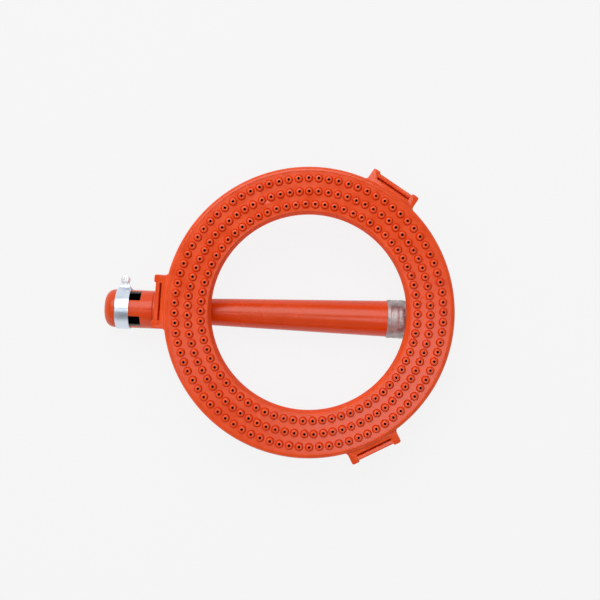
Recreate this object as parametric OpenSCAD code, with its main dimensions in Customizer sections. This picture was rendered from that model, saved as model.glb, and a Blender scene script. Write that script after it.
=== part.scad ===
// Cast ring burner with three rows of drilled port bosses, fed by a long mixing tube that runs
// under the ring to an air mixer with a sliding shutter band. Millimetres.
// Origin: on the ring's axis, level with the port face. +Z is the way the flames rise,
// and +X runs along the mixing tube from the gas inlet towards the ring's feed elbow.

/* [Ring] */
// radius of the rim's outer edge
rim_r = 155.3; // [130:0.1:200]
// radius of the open middle
hole_r = 107; // [80:0.1:130]
// depth from the port face to the ring's underside
ring_depth = 30.5; // [26:0.5:50]
// thickness of the trough's inner wall and floor
cast_wall = 4.5; // [3:0.5:7]
// inward slope of the outer wall between the rim and the underside
outer_draft = 3.5; // [0:0.5:6]
// inward slope of the inner wall between its top and the underside
inner_draft = 0.5; // [0:0.1:2]
// width of the rim around the port ring
rim_w = 5.1; // [4:0.1:8]
// height of the rim above the port face
rim_rise = 0.5; // [0:0.1:2]
// rounding of the rim's outer edge
rim_round = 4.2; // [1:0.1:5]
// rounding of the trough's lower outer corner
keel_round = 5; // [2:0.5:8]
// rounding of the trough's lower inner corner
foot_round = 2; // [1:0.5:3]
// depth below the port face at which the outer wall begins to slope
draft_depth = 6; // [4:0.5:10]
// bevel of the rim's inner edge
rim_bevel = 0.5; // [0.3:0.1:2]
// rounding of the gas chamber's lower corners
chamber_round = 4; // [2:0.5:6]
// width of the ledge that carries the port ring's outer edge
ledge_w = 3.7; // [2:0.1:6]

/* [Port ring] */
// thickness of the port ring
plate_t = 6; // [4:0.5:10]
// rounding of the port ring's inner top edge
plate_round = 1.6; // [0.5:0.1:3]
// thickness of the cement that beds the port ring
bed_t = 0.8; // [0.4:0.1:2]
// distance from the open middle to the inner row of ports
inner_margin = 8; // [6:0.1:14]
// distance from the rim's outer edge to the outer row of ports
outer_margin = 12.8; // [11:0.1:20]
// spacing of the ports along the inner row
inner_pitch = 10.32; // [9:0.01:16]
// spacing of the ports along the middle row
middle_pitch = 10.24; // [9:0.01:16]
// spacing of the ports along the outer row
outer_pitch = 10.66; // [9:0.01:16]
// angle of the first port of the inner row
inner_phase = 1.49; // [0:0.01:5]
// angle of the first port of the middle row
middle_phase = 1.07; // [0:0.01:5]
// angle of the first port of the outer row
outer_phase = 2.34; // [0:0.01:5]
// diameter of a drilled port
port_d = 2.5; // [1:0.1:4]
// diameter of a port boss at its foot
boss_d = 9; // [6:0.1:12]
// diameter of a port boss across its flat top
boss_top_d = 5; // [3:0.1:8]
// height of a port boss
boss_h = 2.6; // [1:0.1:5]
// share of a boss's height at which its shoulder turns in
shoulder_rise = 0.7; // [0.5:0.05:0.9]
// share of a boss's spread from top to foot that is left at the shoulder
shoulder_spread = 0.45; // [0.2:0.05:0.8]
// bevel of the port ring's outer edge
plate_bevel = 0.5; // [0.2:0.1:1]
// depth of the cement line below the port face
seam_depth = 0.6; // [0.3:0.1:1.5]

/* [Fixing screws of the port ring] */
// diameter of the faint round pad over each fixing screw
pad_d = 8; // [6:0.1:12]
// height of the faint round pad
pad_h = 0.5; // [0.2:0.1:1]
// distance from the inner row of ports to the pads
pad_offset = 7.5; // [6:0.1:9]
// angle of the first pad
pad_angle_1 = 8.9; // [0:0.1:40]
// angle of the second pad
pad_angle_2 = 113.1; // [90:0.1:140]
// angle of the third pad
pad_angle_3 = 245.7; // [220:0.1:270]
// diameter of the boss under each pad
stud_boss_d = 9.6; // [8:0.1:12]
// diameter of a fixing screw's thread
fix_d = 4; // [4:1:6]
// diameter of a fixing screw's head
fix_head_d = 7; // [6:0.1:10]
// height of a fixing screw's head
fix_head_h = 2.6; // [2:0.1:5]
// least distance of a fixing screw's head from the feed elbow
fix_clearance = 0.5; // [0.2:0.1:2]
// length of a fixing screw under its head
fix_len = 18; // [12:1:22]
// width of a fixing screw's slot
fix_slot_w = 1.2; // [0.8:0.1:2]
// depth of a fixing screw's slot
fix_slot_h = 1.1; // [0.8:0.1:2]

/* [Leg sockets] */
// angle of the first socket, with the others a third of a turn apart
socket_angle = 58.04; // [0:0.01:119]
// width of the flat leg strap that a socket takes
strap_w = 40; // [20:0.5:50]
// thickness of the flat leg strap
strap_t = 2; // [2:0.1:6]
// thickness of the pad between the ring's wall and the slot
socket_pad = 3.3; // [2:0.1:6]
// thickness of the socket's outer wall
socket_wall = 4.1; // [2:0.1:6]
// width of each cheek beside the slot
cheek_w = 8.5; // [6:0.1:14]
// how far the cheeks stand out past the outer wall
cheek_reach = 1.9; // [0:0.1:4]
// rounding of a cheek's outer corners
cheek_round = 2.2; // [1:0.1:4]
// radius of the hollow corner between a cheek and the ring
cheek_fillet = 5; // [2:0.5:8]
// depth of a socket's lower end below the port face
socket_h = 26; // [15:0.5:29]
// depth of a socket's upper end below the port face
socket_drop = 3; // [0:0.5:8]
// play between a leg strap and its slot
strap_play = 0.2; // [0.1:0.05:0.5]

/* [Mixing tube] */
// distance of the tube's axis from the ring's axis
tube_y = -4.2; // [-12:0.1:12]
// clearance between the ring's underside and the mixer barrel
barrel_gap = 0.3; // [0.2:0.1:10]
// outer diameter at the wide end
tube_wide_d = 40.2; // [30:0.1:60]
// outer diameter at the narrow end
tube_narrow_d = 27.7; // [20:0.1:40]
// thickness of the tube's wall
tube_wall = 2.3; // [1.5:0.1:4]
// distance of the narrow end inside the rim's outer edge
throat_inset = 5.3; // [3:0.1:12]
// length of the plain end under the weld collar
tube_plain = 10; // [5:0.5:16]
// length of the weld collar
collar_len = 21.2; // [12:0.1:25]
// thickness of the weld collar between its beads
collar_t = 1; // [0.8:0.1:3]
// height of the collar's beads
bead_h = 0.6; // [0.2:0.1:1.5]
// steepness of a bead at its edges, as an angle of its arc
bead_edge = 15; // [5:5:30]
// wall of the feed elbow
elbow_wall = 3.6; // [2.5:0.1:5]
// radius on the inside of the feed elbow's bend
elbow_heel = 1.2; // [0.5:0.1:8]
// length of the eye that steadies the tube under the ring
eye_len = 14; // [8:1:24]
// wall of that eye
eye_wall = 4.5; // [3:0.5:8]
// gap between the eye and the reducer
eye_gap = 4; // [1:0.5:10]

/* [Air mixer] */
// outer diameter of the barrel
barrel_d = 42.4; // [36:0.1:60]
// wall of the barrel
barrel_wall = 3.3; // [2:0.1:5]
// distance of the barrel's joint outside the rim's outer edge
joint_reach = 16.3; // [14:0.1:30]
// length of the barrel between its two joints
barrel_len = 40.4; // [36:0.1:80]
// distance from the reducer's joint to the air windows
window_setback = 13.8; // [8:0.1:24]
// length of an air window
window_len = 14; // [8:0.1:14]
// width of an air window
window_w = 14.4; // [8:0.1:20]
// turn of the windows from straight up
window_turn = -3; // [-15:1:15]
// angle between the air windows' middles
window_step = 90; // [76:1:120]
// length of the domed end cap
cap_len = 13.5; // [12:0.1:30]
// rounding of the end cap
cap_round = 10; // [3:0.5:10]
// bevel of the barrel's and the reducer's edges at their joint
joint_bevel = 0.6; // [0.3:0.1:1.5]
// radius of the gas inlet's thread at its crests
inlet_r = 7.475; // [5:0.005:10]
// depth of the gas inlet's thread
inlet_depth = 10; // [8:0.5:12]
// length of each spigot that enters the barrel
spigot_len = 6; // [3:0.5:8]
// length of the reducer's cylindrical end
reducer_body = 11; // [6:0.5:14]
// length of the reducer's cone
reducer_cone = 12; // [8:0.5:20]
// length of the reducer's socket around the tube
reducer_socket = 10; // [6:0.5:14]
// wall of that socket
socket_ring_wall = 3; // [2:0.1:5]

/* [Injector] */
// diameter of the injector's thread
jet_thread_d = 10; // [8:1:12]
// width of the injector's hexagon
jet_hex_af = 14; // [12:1:17]
// length of the hexagon
jet_hex_len = 5; // [3:0.5:8]
// length of the nose past the hexagon
jet_nose = 7; // [3:0.5:12]
// diameter of the gas orifice
jet_orifice_d = 1.6; // [0.5:0.1:3]
// diameter of the injector's gas bore
jet_bore_d = 3.6; // [2:0.1:5]
// diameter of the injector's tip
jet_tip_d = 4; // [3:0.5:6]
// thickness of the injector's end around the orifice
jet_end_t = 2; // [1:0.5:4]
// distance of the injector's seat inside the end cap's joint
jet_seat_step = 1.5; // [0.5:0.5:3]
// thickness of the end cap's wall around the injector's hexagon
cap_seat_wall = 5; // [3:0.5:6]
// thickness of the sealing washer
jet_washer_t = 1; // [0.5:0.1:2]

/* [Shutter band] */
// width of the band along the tube
band_w = 15; // [14.5:0.1:24]
// thickness of the strap
band_t = 1.2; // [0.8:0.1:2]
// clearance between the band and the barrel
band_gap = 0.25; // [0.15:0.05:0.5]
// overlap of the open band on the cap side of the joint
band_overhang = 0.7; // [0:0.1:3]
// gap between the two ears
ear_gap = 3; // [1:0.5:6]
// distance of the clamp screw from the tube's axis
ear_reach = 32.6; // [30:0.1:45]
// radius of an ear's round end
ear_end_r = 4.8; // [4:0.1:8]
// width of an ear's neck
ear_neck_w = 8.4; // [5:0.1:9]
// straight stretch of an ear between the band and its hollow corner
ear_straight = 0.6; // [0.2:0.1:2]
// diameter of the clamp screw's thread
clamp_d = 5; // [3:1:6]
// diameter of the clamp screw's head
clamp_head_d = 10.4; // [8:0.1:14]
// height of the clamp screw's head
clamp_head_h = 2.9; // [2:0.1:5]
// rounding of the clamp screw's head
clamp_head_round = 2; // [1:0.1:3]
// length of each stroke of the cross in the clamp screw's head
cross_len = 4.8; // [3:0.1:6]
// width of each stroke of that cross
cross_w = 1; // [0.6:0.1:1.6]
// depth of that cross
cross_depth = 1.6; // [1:0.1:2]
// turn of that cross
cross_turn = 20; // [0:1:89]
// width of the clamp nut
nut_af = 8; // [7:1:10]
// height of the clamp nut
nut_h = 4; // [2:0.5:6]
// thickness of the washer
washer_t = 1; // [0.5:0.1:2]

/* [Hidden] */
fit_gap = 0.1;
seat_gap = 0.05;
skin = 0.4;
ring_fn = 180;
tube_fn = 96;
part_fn = 48;
boss_fn = 20;
arc_steps = 5;

bed_z = -plate_t - bed_t;
chamber_in_r = hole_r + cast_wall;
recess_r = rim_r - rim_w;
chamber_out_r = recess_r - ledge_w;
floor_z = -ring_depth + cast_wall;
plate_r = recess_r - bed_t;
chamber_mid_r = (chamber_in_r + chamber_out_r) / 2;

inner_row_r = hole_r + inner_margin;
outer_row_r = rim_r - outer_margin;
middle_row_r = (inner_row_r + outer_row_r) / 2;
row_r = [inner_row_r, middle_row_r, outer_row_r];
row_pitch = [inner_pitch, middle_pitch, outer_pitch];
row_phase = [inner_phase, middle_phase, outer_phase];

pad_r = inner_row_r + pad_offset;

slot_t = strap_t + 2 * strap_play;
slot_w = strap_w + 2 * strap_play;
slot_in = rim_r + socket_pad - strap_play;
socket_out = slot_in + slot_t + socket_wall;
cheek_out = socket_out + cheek_reach;

tube_start_x = throat_inset - rim_r;
joint_x = -rim_r - joint_reach;
barrel_r = barrel_d / 2;
bore_r = barrel_r - barrel_wall;
elbow_r = tube_wide_d / 2;
elbow_bend = elbow_r + elbow_heel;
tube_z = -ring_depth - max(barrel_gap + barrel_r, elbow_bend + 2 * seat_gap);
elbow_x = chamber_mid_r;
elbow_reach = sqrt(pow(elbow_x, 2) + pow(tube_y, 2));
fix_reach = elbow_r + fix_head_d / 2 + fix_clearance;
fix_turn = acos((pow(pad_r, 2) + pow(elbow_reach, 2) - pow(fix_reach, 2)) / (2 * pad_r * elbow_reach));
pad_angles = [max(pad_angle_1, atan2(tube_y, elbow_x) + fix_turn), pad_angle_2, pad_angle_3];
elbow_in_r = elbow_r - elbow_wall;
elbow_start = elbow_x - elbow_bend;
collar_end = elbow_start + skin;
collar_start = collar_end - collar_len;
tube_end = collar_start + tube_plain;
taper = (tube_wide_d - tube_narrow_d) / 2 / (collar_start - tube_start_x);
reducer_end = tube_start_x + reducer_socket;
eye_x = reducer_end + eye_gap + eye_len / 2;
eye_r = tube_r(eye_x + eye_len / 2) + skin;

barrel_start = joint_x - barrel_len;
window_end = joint_x - window_setback;
window_start = window_end - window_len;
cap_end = barrel_start - cap_len;
band_start = barrel_start - band_overhang;
band_in_r = barrel_r + band_gap;
band_out_r = band_in_r + band_t;
band_mid = band_start + band_w / 2;
web_x = cap_end + inlet_depth;
jet_seat = barrel_start + jet_seat_step;
cap_bore_r = bore_r - cap_seat_wall;
reducer_in_r = tube_narrow_d / 2 - tube_wall;
reducer_cone_x = joint_x + reducer_body;
reducer_socket_x = reducer_cone_x + reducer_cone;
ear_t = band_t;
ear_top = ear_gap / 2 + ear_t;
clamp_len = 2 * ear_top + washer_t + nut_h + 2;

cast_paint = [0.90, 0.31, 0.13];
bare_steel = [0.58, 0.54, 0.53];
zinc = [0.80, 0.83, 0.87];
brass = [0.78, 0.62, 0.30];
copper = [0.72, 0.45, 0.32];
cement = [0.70, 0.27, 0.15];

// points of an arc about [x, y] from angle a to angle b
function arc(x, y, r, a, b) =
    [for (i = [0 : arc_steps]) let (t = a + (b - a) * i / arc_steps) [x + r * cos(t), y + r * sin(t)]];

// outer radius of the mixing tube at a place along it
function tube_r(x) = tube_narrow_d / 2 + taper * (x - tube_start_x);

// turns a profile of [distance along the tube, radius] about the tube's axis
module along_tube(points, fn = tube_fn) {
    translate([0, tube_y, tube_z])
        rotate([0, 90, 0])
            rotate_extrude($fn = fn)
                polygon([for (p = points) [p[1], p[0]]]);
}

// cylinder about the tube's axis from one place to another
module tube_bar(x0, x1, r, fn = tube_fn) {
    translate([x0, tube_y, tube_z])
        rotate([0, 90, 0])
            cylinder(h = x1 - x0, r = r, $fn = fn);
}

// the ring's outer form as a solid band, before the chamber is cut
module ring_body() {
    keel_r = rim_r - outer_draft;
    rotate_extrude($fn = ring_fn)
        polygon(concat(
            [[hole_r, bed_z]],
            arc(hole_r - inner_draft + foot_round, -ring_depth + foot_round, foot_round, 180, 270),
            arc(keel_r - keel_round, -ring_depth + keel_round, keel_round, 270, 360),
            [[rim_r, -draft_depth]],
            arc(rim_r - rim_round, rim_rise - rim_round, rim_round, 0, 90),
            [[recess_r + rim_bevel, rim_rise], [recess_r, rim_rise - rim_bevel]],
            [[recess_r, bed_z]]));
}

// the gas chamber inside the trough
module chamber() {
    rotate_extrude($fn = ring_fn)
        polygon(concat(
            [[chamber_out_r, bed_z + 1], [chamber_in_r, bed_z + 1]],
            arc(chamber_in_r + chamber_round, floor_z + chamber_round, chamber_round, 180, 270),
            arc(chamber_out_r - chamber_round, floor_z + chamber_round, chamber_round, 270, 360)));
}

// outline of one leg socket, standing out along +X
module socket_outline() {
    root = chamber_out_r + 1;
    half = slot_w / 2 + cheek_w;
    meet = sqrt(pow(rim_r, 2) - pow(half + cheek_fillet, 2));
    difference() {
        union() {
            translate([root, -half])
                square([socket_out - root, 2 * half]);
            for (side = [-1, 1])
                translate([0, side * (slot_w + cheek_w) / 2]) {
                    translate([root, -cheek_w / 2])
                        square([cheek_out - cheek_round - root, cheek_w]);
                    translate([root, cheek_round - cheek_w / 2])
                        square([cheek_out - root, cheek_w - 2 * cheek_round]);
                    for (corner = [-1, 1])
                        translate([cheek_out - cheek_round, corner * (cheek_w / 2 - cheek_round)])
                            circle(r = cheek_round, $fn = part_fn);
                }
            for (side = [-1, 1])
                translate([root, side * (half + cheek_fillet / 2) - cheek_fillet / 2])
                    square([meet + cheek_fillet - root, cheek_fillet]);
        }
        for (side = [-1, 1])
            translate([meet + cheek_fillet, side * (half + cheek_fillet)])
                circle(r = cheek_fillet, $fn = part_fn);
        translate([slot_in, -slot_w / 2])
            square([slot_t, slot_w]);
    }
}

// the three sockets
module sockets() {
    for (i = [0 : 2])
        rotate([0, 0, socket_angle + 120 * i])
            translate([0, 0, -socket_h])
                linear_extrude(height = socket_h - socket_drop)
                    socket_outline();
}

module burner_trough() {
    color(cast_paint)
    difference() {
        union() {
            ring_body();
            sockets();
        }
        chamber();
        translate([0, 0, bed_z])
            cylinder(h = plate_t + bed_t + rim_rise + 1, r = recess_r, $fn = ring_fn);
        translate([elbow_x, tube_y, -ring_depth - 1])
            cylinder(h = cast_wall + 2, r = elbow_in_r, $fn = tube_fn);
        for (a = pad_angles)
            rotate([0, 0, a])
                translate([pad_r, 0, -ring_depth - 1])
                    cylinder(h = cast_wall + 2, d = fix_d + 4 * fit_gap, $fn = part_fn);
    }
}

// the ring between the elbow's outer and inner radius
module elbow_section() {
    difference() {
        circle(r = elbow_r, $fn = tube_fn);
        circle(r = elbow_in_r, $fn = tube_fn);
    }
}

// elbow welded under the trough's floor, which takes the mixture up into the chamber
module feed_elbow() {
    bend_z = tube_z + elbow_bend;
    color(cast_paint)
    union() {
        translate([tube_end + seat_gap, tube_y, tube_z])
            rotate([90, 0, 90])
                linear_extrude(height = elbow_start - tube_end - seat_gap)
                    elbow_section();
        translate([elbow_start, tube_y, bend_z])
            rotate([90, 0, 0])
                rotate([0, 0, -90])
                    rotate_extrude(angle = 90, $fn = tube_fn)
                        translate([elbow_bend, 0])
                            elbow_section();
        translate([elbow_x, tube_y, bend_z])
            linear_extrude(height = -ring_depth - seat_gap - bend_z)
                elbow_section();
    }
}

// hanger under the floor with an eye that the tube's narrow stretch passes through
module tube_hanger() {
    outer = eye_r + eye_wall;
    color(cast_paint)
    difference() {
        translate([eye_x - eye_len / 2, tube_y, 0])
            rotate([90, 0, 90])
                linear_extrude(height = eye_len) {
                    translate([0, tube_z])
                        circle(r = outer, $fn = part_fn);
                    translate([-outer, tube_z])
                        square([2 * outer, -ring_depth - seat_gap - tube_z]);
                }
        tube_bar(eye_x - eye_len, eye_x + eye_len, eye_r);
    }
}

// one row of port bosses, or of the holes through them
module port_row(row, drill = false) {
    count = round(2 * PI * row_r[row] / row_pitch[row]);
    for (i = [0 : count - 1])
        rotate([0, 0, row_phase[row] + 360 * i / count])
            translate([row_r[row], 0, 0])
                if (drill)
                    translate([0, 0, -plate_t - 1])
                        cylinder(h = plate_t + boss_h + 2, d = port_d, $fn = boss_fn);
                else
                    port_boss();
}

// a boss with a sloping flank and a turned-in shoulder
module port_boss() {
    shoulder_z = boss_h * shoulder_rise;
    shoulder_d = boss_top_d + (boss_d - boss_top_d) * shoulder_spread;
    translate([0, 0, -skin])
        cylinder(h = skin, d = boss_d, $fn = boss_fn);
    cylinder(h = shoulder_z, d1 = boss_d, d2 = shoulder_d, $fn = boss_fn);
    translate([0, 0, shoulder_z])
        cylinder(h = boss_h - shoulder_z, d1 = shoulder_d, d2 = boss_top_d, $fn = boss_fn);
}

module port_ring() {
    color(cast_paint)
    difference() {
        union() {
            rotate_extrude($fn = ring_fn)
                polygon(concat(
                    [[plate_r, -plate_t], [plate_r, -plate_bevel], [plate_r - plate_bevel, 0]],
                    arc(hole_r + plate_round, -plate_round, plate_round, 90, 180),
                    [[hole_r, -plate_t]]));
            for (row = [0 : 2])
                port_row(row);
            for (a = pad_angles)
                rotate([0, 0, a])
                    translate([pad_r, 0, 0]) {
                        translate([0, 0, -skin])
                            cylinder(h = pad_h + skin, d = pad_d, $fn = part_fn);
                        translate([0, 0, floor_z + seat_gap])
                            cylinder(h = -floor_z - skin, d = stud_boss_d, $fn = part_fn);
                    }
        }
        for (row = [0 : 2])
            port_row(row, drill = true);
        for (a = pad_angles)
            rotate([0, 0, a])
                translate([pad_r, 0, floor_z - 1])
                    cylinder(h = fix_len - cast_wall + 2, d = fix_d + 2 * fit_gap, $fn = part_fn);
    }
}

// three cheese-headed screws that hold the port ring down from below
module cover_screws() {
    color(bare_steel)
    for (a = pad_angles)
        rotate([0, 0, a])
            translate([pad_r, 0, -ring_depth - seat_gap])
                difference() {
                    union() {
                        translate([0, 0, -fix_head_h])
                            cylinder(h = fix_head_h, d = fix_head_d, $fn = part_fn);
                        cylinder(h = fix_len, d = fix_d, $fn = part_fn);
                    }
                    translate([-fix_head_d, -fix_slot_w / 2, -fix_head_h - 1])
                        cube([2 * fix_head_d, fix_slot_w, fix_slot_h + 1]);
                }
}

module seam_cement_outer() {
    color(cement)
    rotate_extrude($fn = ring_fn)
        polygon([[chamber_out_r + skin, bed_z + seat_gap],
                 [recess_r - fit_gap, bed_z + seat_gap],
                 [recess_r - fit_gap, -seam_depth],
                 [plate_r + fit_gap, -seam_depth],
                 [plate_r + fit_gap, -plate_t - seat_gap],
                 [chamber_out_r + skin, -plate_t - seat_gap]]);
}

module seam_cement_inner() {
    color(cement)
    rotate_extrude($fn = ring_fn)
        translate([hole_r + skin, bed_z + seat_gap])
            square([cast_wall - 2 * skin, bed_t - 2 * seat_gap]);
}

module mixing_tube() {
    color(cast_paint)
    along_tube([[tube_start_x, tube_narrow_d / 2],
                [collar_start - skin, tube_wide_d / 2],
                [tube_end, tube_wide_d / 2],
                [tube_end, tube_wide_d / 2 - tube_wall],
                [collar_start - skin, tube_wide_d / 2 - tube_wall],
                [tube_start_x, tube_narrow_d / 2 - tube_wall]]);
}

// bare weld with three raised beads around the butt of tube and elbow
module weld_collar() {
    inner = tube_wide_d / 2 + fit_gap;
    outer = inner + collar_t;
    beads = [0.135, 0.445, 0.764];
    bead_half = [1.1, 1.9, 2.6];
    sink = 0.2;
    color(bare_steel)
    along_tube(concat(
        [[collar_start, inner], [collar_start, outer - 2 * sink]],
        [for (i = [0 : 2])
            for (p = arc(collar_start + beads[i] * collar_len, 0, bead_half[i], 180 - bead_edge, bead_edge))
                [p[0], outer - sink + p[1] * bead_h / bead_half[i]]],
        [[collar_end, outer - 2 * sink], [collar_end, inner]]));
}

module throat_reducer() {
    socket_in = tube_r(reducer_end) + fit_gap;
    socket_out_r = socket_in + socket_ring_wall;
    color(cast_paint)
    along_tube([[joint_x - spigot_len, bore_r - fit_gap],
                [joint_x + seat_gap, bore_r - fit_gap],
                [joint_x + seat_gap, barrel_r - joint_bevel],
                [joint_x + joint_bevel, barrel_r],
                [reducer_cone_x, barrel_r],
                [reducer_socket_x, socket_out_r],
                [reducer_end, socket_out_r],
                [reducer_end, socket_in],
                [tube_start_x - seat_gap, socket_in],
                [tube_start_x - seat_gap, reducer_in_r],
                [reducer_cone_x, bore_r - barrel_wall],
                [joint_x - spigot_len, bore_r - barrel_wall + 1]]);
}

module mixer_barrel() {
    color(cast_paint)
    difference() {
        along_tube([[barrel_start, bore_r], [barrel_start, barrel_r],
                    [joint_x - joint_bevel, barrel_r], [joint_x, barrel_r - joint_bevel],
                    [joint_x, bore_r]]);
        for (side = [-1, 1])
            translate([window_start, tube_y, tube_z])
                rotate([window_turn + side * window_step / 2, 0, 0])
                    translate([0, -window_w / 2, 0])
                        cube([window_len, window_w, barrel_r + 1]);
    }
}

module end_cap() {
    cap_edge = barrel_start - seat_gap;
    spigot_r = bore_r - fit_gap;
    spigot_end = barrel_start + spigot_len;
    color(cast_paint)
    along_tube(concat(
        [[cap_end, inlet_r]],
        arc(cap_end + cap_round, barrel_r - cap_round, cap_round, 180, 90),
        [[cap_edge, barrel_r], [cap_edge, spigot_r], [spigot_end, spigot_r], [spigot_end, cap_bore_r],
         [jet_seat, cap_bore_r], [jet_seat, jet_thread_d / 2 + fit_gap],
         [web_x, jet_thread_d / 2 + fit_gap], [web_x, inlet_r]]));
}

// brass jet with its gas bore, orifice and hexagon
module injector() {
    hex_x = jet_seat + jet_washer_t + 2 * seat_gap;
    nose_x = hex_x + jet_hex_len;
    tip_x = nose_x + jet_nose;
    color(brass)
    difference() {
        union() {
            tube_bar(web_x + skin, hex_x, jet_thread_d / 2, part_fn);
            tube_bar(hex_x, nose_x, jet_hex_af / 2 / cos(30), 6);
            along_tube([[nose_x, 0], [nose_x, jet_thread_d / 2 - skin], [tip_x - 1, jet_tip_d / 2 + 1],
                        [tip_x, jet_tip_d / 2], [tip_x, 0]], part_fn);
        }
        tube_bar(web_x, tip_x - jet_end_t, jet_bore_d / 2, part_fn);
        tube_bar(tip_x - jet_end_t - 1, tip_x + 1, jet_orifice_d / 2, part_fn);
    }
}

module injector_washer() {
    outer = jet_hex_af / 2;
    inner = jet_thread_d / 2 + fit_gap;
    color(copper)
    along_tube([[jet_seat + seat_gap, inner], [jet_seat + seat_gap, outer],
                [jet_seat + jet_washer_t, outer], [jet_seat + jet_washer_t, inner]], part_fn);
}

// outline of one ear, seen along the clamp screw
module ear_outline() {
    flare = (band_w - ear_neck_w) / 2;
    waist = band_out_r + flare + ear_straight;
    difference() {
        union() {
            translate([-ear_neck_w / 2, band_in_r - 1])
                square([ear_neck_w, ear_reach - band_in_r + 1]);
            translate([-band_w / 2, band_in_r - 1])
                square([band_w, waist - band_in_r + 1]);
            translate([0, ear_reach])
                circle(r = ear_end_r, $fn = part_fn);
        }
        for (side = [-1, 1])
            translate([side * band_w / 2, waist])
                circle(r = flare, $fn = part_fn);
        translate([0, ear_reach])
            circle(d = clamp_d + 3 * fit_gap, $fn = part_fn);
    }
}

module shutter_band() {
    color(zinc)
    translate([band_mid, tube_y, tube_z])
        difference() {
            union() {
                rotate([0, 90, 0])
                    difference() {
                        cylinder(h = band_w, r = band_out_r, center = true, $fn = tube_fn);
                        cylinder(h = band_w + 2, r = band_in_r, center = true, $fn = tube_fn);
                        rotate([0, 0, 90])
                            translate([0, -ear_gap / 2, -band_w])
                                cube([band_out_r + 1, ear_gap, 2 * band_w]);
                    }
                for (side = [-1, 1])
                    translate([0, 0, side * (ear_gap + ear_t) / 2 - ear_t / 2])
                        linear_extrude(height = ear_t)
                            ear_outline();
            }
            rotate([0, 90, 0])
                cylinder(h = band_w + 2, r = band_in_r, center = true, $fn = tube_fn);
        }
}

module clamp_screw() {
    color(zinc)
    translate([band_mid, tube_y + ear_reach, tube_z + ear_top + seat_gap])
        difference() {
            union() {
                rotate_extrude($fn = part_fn)
                    polygon(concat([[0, 0], [clamp_head_d / 2, 0]],
                                   arc(clamp_head_d / 2 - clamp_head_round, clamp_head_h - clamp_head_round,
                                       clamp_head_round, 0, 75),
                                   [[0, clamp_head_h]]));
                translate([0, 0, -clamp_len])
                    cylinder(h = clamp_len + skin, d = clamp_d, $fn = part_fn);
            }
            for (a = [0, 90])
                rotate([0, 0, a + cross_turn])
                    translate([-cross_len / 2, -cross_w / 2, clamp_head_h - cross_depth])
                        cube([cross_len, cross_w, cross_depth + 1]);
        }
}

module clamp_washer() {
    color(zinc)
    translate([band_mid, tube_y + ear_reach, tube_z - ear_top - washer_t])
        difference() {
            cylinder(h = washer_t - seat_gap, d = 2 * ear_end_r, $fn = part_fn);
            translate([0, 0, -1])
                cylinder(h = washer_t + 2, d = clamp_d + 3 * fit_gap, $fn = part_fn);
        }
}

module clamp_nut() {
    color(zinc)
    translate([band_mid, tube_y + ear_reach, tube_z - ear_top - washer_t - nut_h])
        difference() {
            cylinder(h = nut_h - seat_gap, r = nut_af / 2 / cos(30), $fn = 6);
            translate([0, 0, -1])
                cylinder(h = nut_h + 2, d = clamp_d + 2 * fit_gap, $fn = part_fn);
        }
}

burner_trough();
port_ring();
cover_screws();
seam_cement_outer();
seam_cement_inner();
feed_elbow();
tube_hanger();
mixing_tube();
weld_collar();
throat_reducer();
mixer_barrel();
end_cap();
injector();
injector_washer();
shutter_band();
clamp_screw();
clamp_washer();
clamp_nut();
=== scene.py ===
import math

import bmesh
import bpy
from mathutils import Matrix, Vector, geometry, noise


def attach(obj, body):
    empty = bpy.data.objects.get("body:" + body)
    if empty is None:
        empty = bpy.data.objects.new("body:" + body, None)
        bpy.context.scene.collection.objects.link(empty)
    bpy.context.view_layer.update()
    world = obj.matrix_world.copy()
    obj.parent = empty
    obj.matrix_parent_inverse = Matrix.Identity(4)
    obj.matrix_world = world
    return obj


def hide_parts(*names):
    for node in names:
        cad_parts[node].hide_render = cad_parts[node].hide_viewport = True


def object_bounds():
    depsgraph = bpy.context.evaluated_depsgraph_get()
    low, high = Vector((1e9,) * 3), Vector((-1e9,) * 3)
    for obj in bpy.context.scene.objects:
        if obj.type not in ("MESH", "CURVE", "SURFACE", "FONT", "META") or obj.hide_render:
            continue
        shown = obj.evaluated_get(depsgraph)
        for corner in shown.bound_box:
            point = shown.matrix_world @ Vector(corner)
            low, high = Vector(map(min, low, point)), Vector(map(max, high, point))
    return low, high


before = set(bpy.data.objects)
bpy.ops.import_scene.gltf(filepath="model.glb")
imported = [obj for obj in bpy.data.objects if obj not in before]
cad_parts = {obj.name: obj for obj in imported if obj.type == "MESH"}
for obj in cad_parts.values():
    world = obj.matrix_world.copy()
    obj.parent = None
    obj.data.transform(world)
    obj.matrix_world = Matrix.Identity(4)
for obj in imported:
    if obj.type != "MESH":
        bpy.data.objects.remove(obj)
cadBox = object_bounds()
mm = 0.001
axisY, axisZ = -4.2, -52.0  # the mixing tube's axis, in millimetres
scene = bpy.context.scene
print("frame loaded")


def addNode(tree, kind, **values):
    node = tree.nodes.new(kind)
    for name, value in values.items():
        setattr(node, name, value)
    return node


def link(tree, source, target):
    tree.links.new(source, target)


def wired(tree, kind, inputs, **values):
    # a new node whose inputs are linked to other sockets or given fixed values
    node = addNode(tree, kind, **values)
    for place, source in inputs.items():
        if isinstance(source, bpy.types.NodeSocket):
            link(tree, source, node.inputs[place])
        else:
            node.inputs[place].default_value = source
    return node


def emptyTree(owner):
    owner.use_nodes = True
    owner.node_tree.nodes.clear()
    return owner.node_tree


def placed(name, data):
    thing = bpy.data.objects.new(name, data)
    scene.collection.objects.link(thing)
    return thing


def mathNode(tree, operation, first, second):
    return wired(tree, "ShaderNodeMath", {0: first, 1: second}, operation=operation).outputs[0]


def ramp(tree, source, low, high, kind="LINEAR"):
    # 0 below low, 1 above high
    sizes = {"Value": source, "From Min": low, "From Max": high}
    return wired(tree, "ShaderNodeMapRange", sizes, interpolation_type=kind).outputs[0]


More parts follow.
